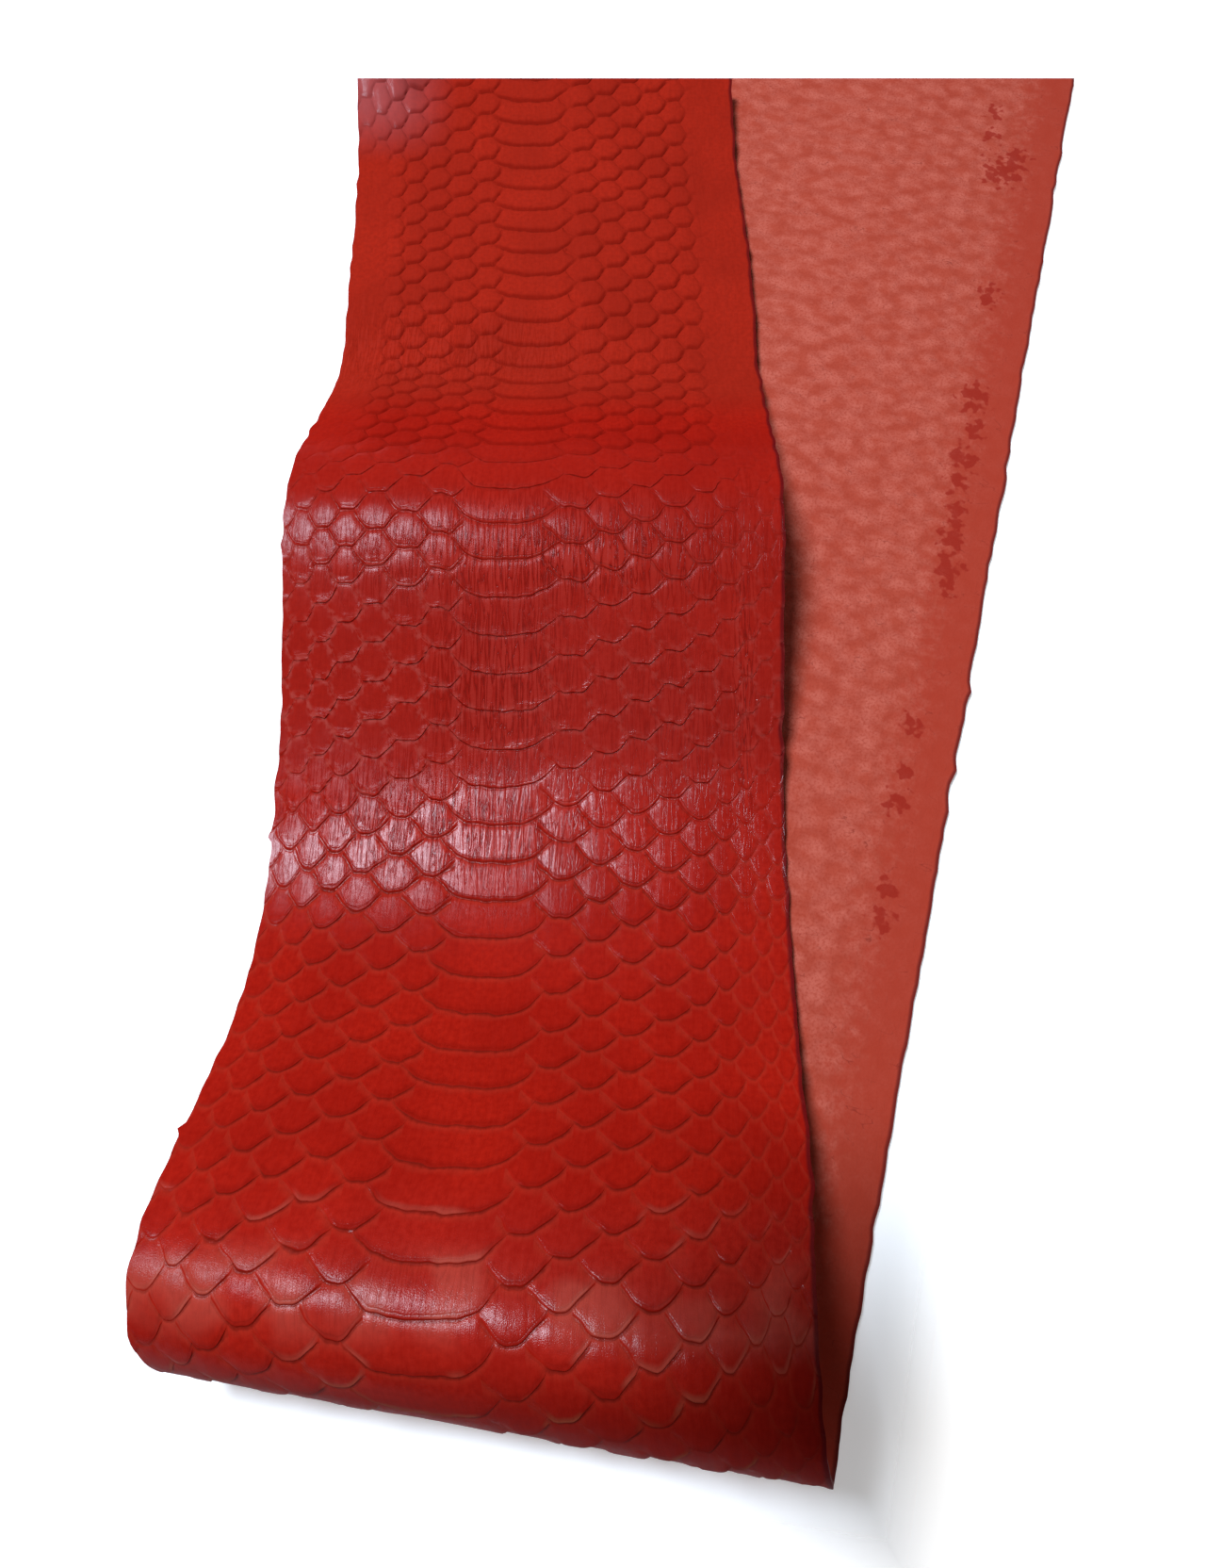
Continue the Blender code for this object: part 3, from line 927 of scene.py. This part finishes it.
def crinkled(node, at, colour, height):
    rippled = node("VectorMath MULTIPLY", at.flat, (0.35, 1, 1))
    crinkle = node(NOISE, Vector=rippled, Scale=0.9, Detail=2, Distortion=0.6)
    near_rim = node(SMOOTH, at.above_own, 0.8, 3, 1, 0)
    patches = node(RANGE, node(NOISE, Vector=at.flat, Scale=0.16, Detail=1), 0.42, 0.62)
    crinkle = node(TIMES, crinkle, node(TIMES, near_rim, at.rimmed, patches, at.own_crisp))
    # Painted sheen: the skin between the plates is paler in patches
    between = node(SMOOTH, at.nearest, 0.3, 2.6, 1, 0)
    sheen_patches = node(RANGE, node(NOISE, Vector=at.flat, Scale=0.5, Detail=4), 0.42, 0.62, 0, 0.36)
    colour = node(MIX, node(TIMES, between, at.rimmed, sheen_patches), colour, "B45248")
    return colour, node(TIMES_PLUS, crinkle, 0.35, height)


# %% [markdown]
# ## The glaze
# The skin was glazed: pressed and rubbed under a polished roller. The glaze is a thin coat on the
# plates only, with a low, soft gloss, and the dyed leather under it is nearly matte. It is worn off
# most of the pressed part, off the left of the slope and beyond the wave, except in the far corner.

# %% How much glaze is left
def glaze_left(node, at):
    slanted = node(TIMES_PLUS, at.across, -0.28, at.along)
    crumpled_part = node(
        TIMES, node(SMOOTH, slanted, 168, 184, 0, 0.85), node(SMOOTH, at.along, 214, 228, 1, 0),
        node(SMOOTH, at.across, -26, 0, 1, 0),
    )
    far_end = node(SMOOTH, at.along, 434, 446, 0, 0.6)
    corner = node(TIMES, far_end, node(SMOOTH, at.across, -51, -36, 1, 0))
    dull = node(LARGER, node(MINUS, at.puffed, corner), crumpled_part)
    kept = node(MINUS, 1, dull, use_clamp=True)

    pressed = node(SMOOTH, at.along, 130, 152, 0.1, 1)
    fold_left = node(TIMES, node(SMOOTH, at.across, -50, -15, 0.4, 1), at.on_fold)
    pressed = node(TIMES, node(LARGER, pressed, fold_left), at.off_nose)
    brow_right = node(SMOOTH, at.across, -40, -5, 0.5, 0.33)
    beyond = node(SMOOTH, at.along, 195, 225, 1, brow_right)
    worn = node(RANGE, at.specks, 0.3, 0.7, 0.15, 0.30)
    return node(TIMES, node(TIMES, at.plate, worn), node(TIMES, pressed, beyond), kept)


# %% Material: glazed grain
def glazed_leather():
    material, node, at = new_material("dyed_glazed_snake_leather")
    colour = lines_and_plates(node, at, dye_and_slope_shade(node, at))
    for layer in (fade_shade_and_sheen, fold_shade_sheen_and_tips, dark_lines):
        colour = layer(node, at, colour)
    colour, height = crinkled(node, at, *wrinkled(node, at, colour))
    height = node(TIMES_PLUS, at.pad_line, -0.05, height)
    grain = node(NOISE, Vector=at.flat, Scale=3.2, Detail=3)
    height = node(TIMES_PLUS, grain, node(TIMES_PLUS, at.on_fold, 0.02, 0.016), height)
    normal = node("Bump", Height=height, Distance=MM)
    roughness = node(RANGE, at.specks, 0.3, 0.7, 0.44, 0.54)
    roughness = node(TIMES_PLUS, at.puffed, 0.4, roughness, use_clamp=True)
    finish_material(node, {
        "Base Color": colour, "Roughness": roughness, "Normal": normal, "IOR": 1.5,
        "Specular IOR Level": 0.01, "Coat Weight": glaze_left(node, at), "Coat Roughness": 0.2,
        "Coat Normal": normal,
    })
    return material


# %% [markdown]
# ## Suede flesh side
# The inside of the hide was shaved and buffed, not glazed, so it is matte and lighter: the salmon
# pink of red dye that soaked in thinly. The scales of the other side press through as soft, darker
# bands, the dye is stronger along the cut edge, and there it left dark red blotches.

# %% Blotches of dye
BLOTCHES = (
    (43, -475, 2.4), (43, -462, 2.4), (51, -445, 5.6), (46, -440, 2.8), (55, -452, 3), (54, -380, 3.2),
    (56, -333, 4), (58, -320, 2.4), (56, -307, 3.6), (55, -298, 2.8), (57, -286, 2.6), (57, -281, 2.4),
    (57, -274, 3), (58, -264, 3.6), (58, -257, 2.6), (56, -208, 2.6), (57, -192, 2.2), (56, -182, 2.6),
    (58, -157, 2.2), (58, -148, 2.4),
)
BLOTCH_REACH = 2.4
BLOTCH_LENGTH = 0.7


def blotches(node, at):
    """Round spots, with an edge that one noise shifts and another one breaks up."""
    ragged = node(NOISE, Vector=at.flat, Scale=0.5, Detail=3, out="Color")
    ragged = node("VectorMath SUBTRACT", ragged, (0.5, 0.5, 0.5))
    ragged = node("VectorMath MULTIPLY_ADD", ragged, (4, 4, 0), at.flat)
    ragged = node("VectorMath MULTIPLY", ragged, (1, BLOTCH_LENGTH, 0))
    spots = 0
    for across, along, size in BLOTCHES:
        away = node("VectorMath DISTANCE", ragged, (across, along * BLOTCH_LENGTH, 0), out="Value")
        spots = node(LARGER, spots, node(RANGE, away, 0, size * BLOTCH_REACH, 1, 0))
    drops = node(MINUS, node(NOISE, Vector=at.flat, Scale=0.33, Detail=1.5), 0.5)
    return node(SMOOTH, node(TIMES_PLUS, drops, 1.5, spots), 0.5, 0.75, 0, 0.8)


# %% Material: suede flesh side
def suede_leather():
    material, node, at = new_material("buffed_suede_flesh_side")
    broad = node("VectorMath MULTIPLY", at.flat, (0.15, 0.19, 1))
    dapple = node(NOISE, Vector=broad, Scale=1, Detail=4)
    nap = node(NOISE, Vector=at.flat, Scale=1.3, Detail=5)
    colour = node(MIX, node(RANGE, dapple, 0.35, 0.65), "B04633", "C05C4A")
    colour = node(MIX, node(RANGE, nap, 0.45, 0.7, 0, 0.6), colour, "A33A28")

    # The imprint of the scales is soft, so a noise shifts its edge by up to 2 mm
    shifted = node(MINUS, node(NOISE, Vector=at.flat, Scale=0.4, Detail=4), 0.5)
    imprint = node(TIMES_PLUS, shifted, 5, at.nearest)
    colour = node(MIX, node(SMOOTH, imprint, 0, 3.2, 0.26, 0), colour, "98301F")
    border = node(TIMES_PLUS, shifted, 22, at.across)
    colour = node(MIX, node(SMOOTH, border, 46, 63, 0, 0.85), colour, "A83624")

    # A few dark hair lines, where a stretched noise passes its middle value
    hairs = node("VectorMath MULTIPLY", at.flat, (0.05, 0.11, 1))
    hairs = node(MINUS, node(NOISE, Vector=hairs, Scale=1, Detail=3), 0.5)
    hairs = node(RANGE, node("Math ABSOLUTE", hairs), 0, 0.006, 0.5, 0)
    few = node(RANGE, dapple, 0.5, 0.6)
    colour = node(MIX, node(TIMES, hairs, few), colour, "6E1A12")
    colour = node(MIX, blotches(node, at), colour, "962115")
    # Painted shade: a dark line along the right cut edge
    colour = node(MIX, node(SMOOTH, at.across, 68.7, 69.6, 0, 0.7), colour, "4A0A10")
    sunk = node(SMOOTH, at.nearest, 0, 3.5, -0.035, 0)
    height = node("Math ADD", node(TIMES, nap, 0.07), sunk)
    normal = node("Bump", Height=height, Distance=MM)
    finish_material(node, {
        "Base Color": colour, "Roughness": 0.86, "Normal": normal, "IOR": 1.4,
        "Specular IOR Level": 0.1, "Sheen Weight": 0.03, "Sheen Roughness": 0.5,
    })
    return material


# %% [markdown]
# ## Raw cut edge
# The knife left an open edge of fibres, which soaked up the most dye: nearly black red and matte.

# %% Material: raw cut edge
def raw_edge():
    material, node, at = new_material("knife_cut_fibre_edge")
    fibres = node(NOISE, Vector=at.flat, Scale=2.4, Detail=4)
    colour = node(MIX, node(RANGE, fibres, 0.3, 0.7), "4A0806", "86201A")
    normal = node("Bump", Height=fibres, Distance=0.15 * MM)
    finish_material(node, {"Base Color": colour, "Roughness": 0.8, "Normal": normal, "IOR": 1.45})
    return material


for made in (glazed_leather(), suede_leather(), raw_edge()):
    mesh.materials.append(made)
    print(made.name, len(made.node_tree.nodes), "nodes")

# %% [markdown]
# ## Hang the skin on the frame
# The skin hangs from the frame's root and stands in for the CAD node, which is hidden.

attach(skin, "root")
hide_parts("snake_skin")

# %% [markdown]
# ## Floor, light and camera
# The photograph was taken from close above a white ground, with one soft cool light high on the left
# ahead of the camera. A weak gap of sky behind and a dim even light fill in around it.

# %% Floor
WHITE_PAPER = (0.98, 0.95, 0.93, 1)
GROUND = ((-3, -3), (3, -3), (3, 3), (-3, 3))


def stage_sheet(name, paint_name, corners, height, inputs):
    """A level sheet of the stage with one plain material, and that material's nodes."""
    sheet_mesh = bpy.data.meshes.new(name)
    sheet_mesh.from_pydata([(x, y, 0) for x, y in corners], [], [(0, 1, 2, 3)])
    sheet = in_scene(name, sheet_mesh)
    sheet.location.z = height
    paint = bpy.data.materials.new(paint_name)
    paint.use_nodes = True
    for socket, value in inputs.items():
        paint.node_tree.nodes["Principled BSDF"].inputs[socket].default_value = value
    sheet_mesh.materials.append(paint)
    return sheet, paint.node_tree


floor, _ = stage_sheet("floor", "white_paper_ground", GROUND, -0.0002, {
    "Base Color": WHITE_PAPER, "Roughness": 0.9, "Specular IOR Level": 0.1, "Emission Strength": 0.3,
})


# %% Lights
def area_light(name, place, aim, size, power, colour):
    data = bpy.data.lights.new(name, "AREA")
    data.shape = "DISK"
    data.size = size
    data.energy = power
    data.color = colour
    light = in_scene(name, data)
    light.location = place
    light.rotation_euler = (Vector(aim) - Vector(place)).to_track_quat("-Z", "Y").to_euler()


area_light("window", (-0.43, 0.16, 1.20), (-0.05, -0.05, 0), 0.36, 23.4, (0.72, 0.85, 1))
area_light("sky gap", (0, 0.53, 1.20), (0, 0, 0), 0.36, 0.35, (0.75, 0.88, 1))
world = bpy.data.worlds.new("studio")
world.use_nodes = True
background = world.node_tree.nodes["Background"].inputs
background["Color"].default_value = (0.96, 0.98, 1, 1)
background["Strength"].default_value = 0.17
bpy.context.scene.world = world

# %% [markdown]
# ## A flag
# In the photograph the lower right corner lies in the soft shade of whoever held the camera. A
# photographer calls a card that does this a flag. It stands low, and the camera doesn't see it.

# %% Flag
FLAG_CORNERS = ((-0.091, -0.13), (-0.031, -0.33), (0.09, -0.33), (0.09, -0.13))
flag, _ = stage_sheet("flag", "black_card", FLAG_CORNERS, 0.2, {"Base Color": (0.01, 0.01, 0.01, 1)})
flag.visible_camera = False

# %% [markdown]
# ## Clean paper beside the skin
# The flag would leave a grey patch on the ground, which is white in the photograph. A sheet of paper
# with its own light covers that patch. It fades out towards the skin, so the contact shadow stays,
# and it is hidden from every ray but the camera's, so it doesn't light the skin.

# %% Clean paper
clean, tree = stage_sheet("clean_paper", "clean_white_paper", GROUND, -0.0001, {
    "Base Color": WHITE_PAPER, "Emission Strength": 1,
})
node = partial(add, tree)
place = node("NewGeometry", out="Position")
past_side = node("VectorMath DOT_PRODUCT", place, (1, -0.26, 0), out="Value")
past_nose = node("VectorMath DOT_PRODUCT", place, (-0.14, -1, 0), out="Value")
cover = node(LARGER, node(SMOOTH, past_side, 0.072, 0.102), node(SMOOTH, past_nose, 0.233, 0.265))
tree.links.new(cover, tree.nodes["Principled BSDF"].inputs["Alpha"])
clean.visible_diffuse = clean.visible_glossy = clean.visible_shadow = False

# %% Camera
camera_data = bpy.data.cameras.new("camera")
camera_data.sensor_width = 36
camera_data.lens = 24.317
camera_data.dof.use_dof = False
camera = in_scene("camera", camera_data)
camera.location = (-0.04387, -0.18280, 0.27678)
camera.rotation_euler = (math.radians(22.67), 0, 0)
bpy.context.scene.camera = camera
bpy.context.scene.view_settings.view_transform = "Standard"
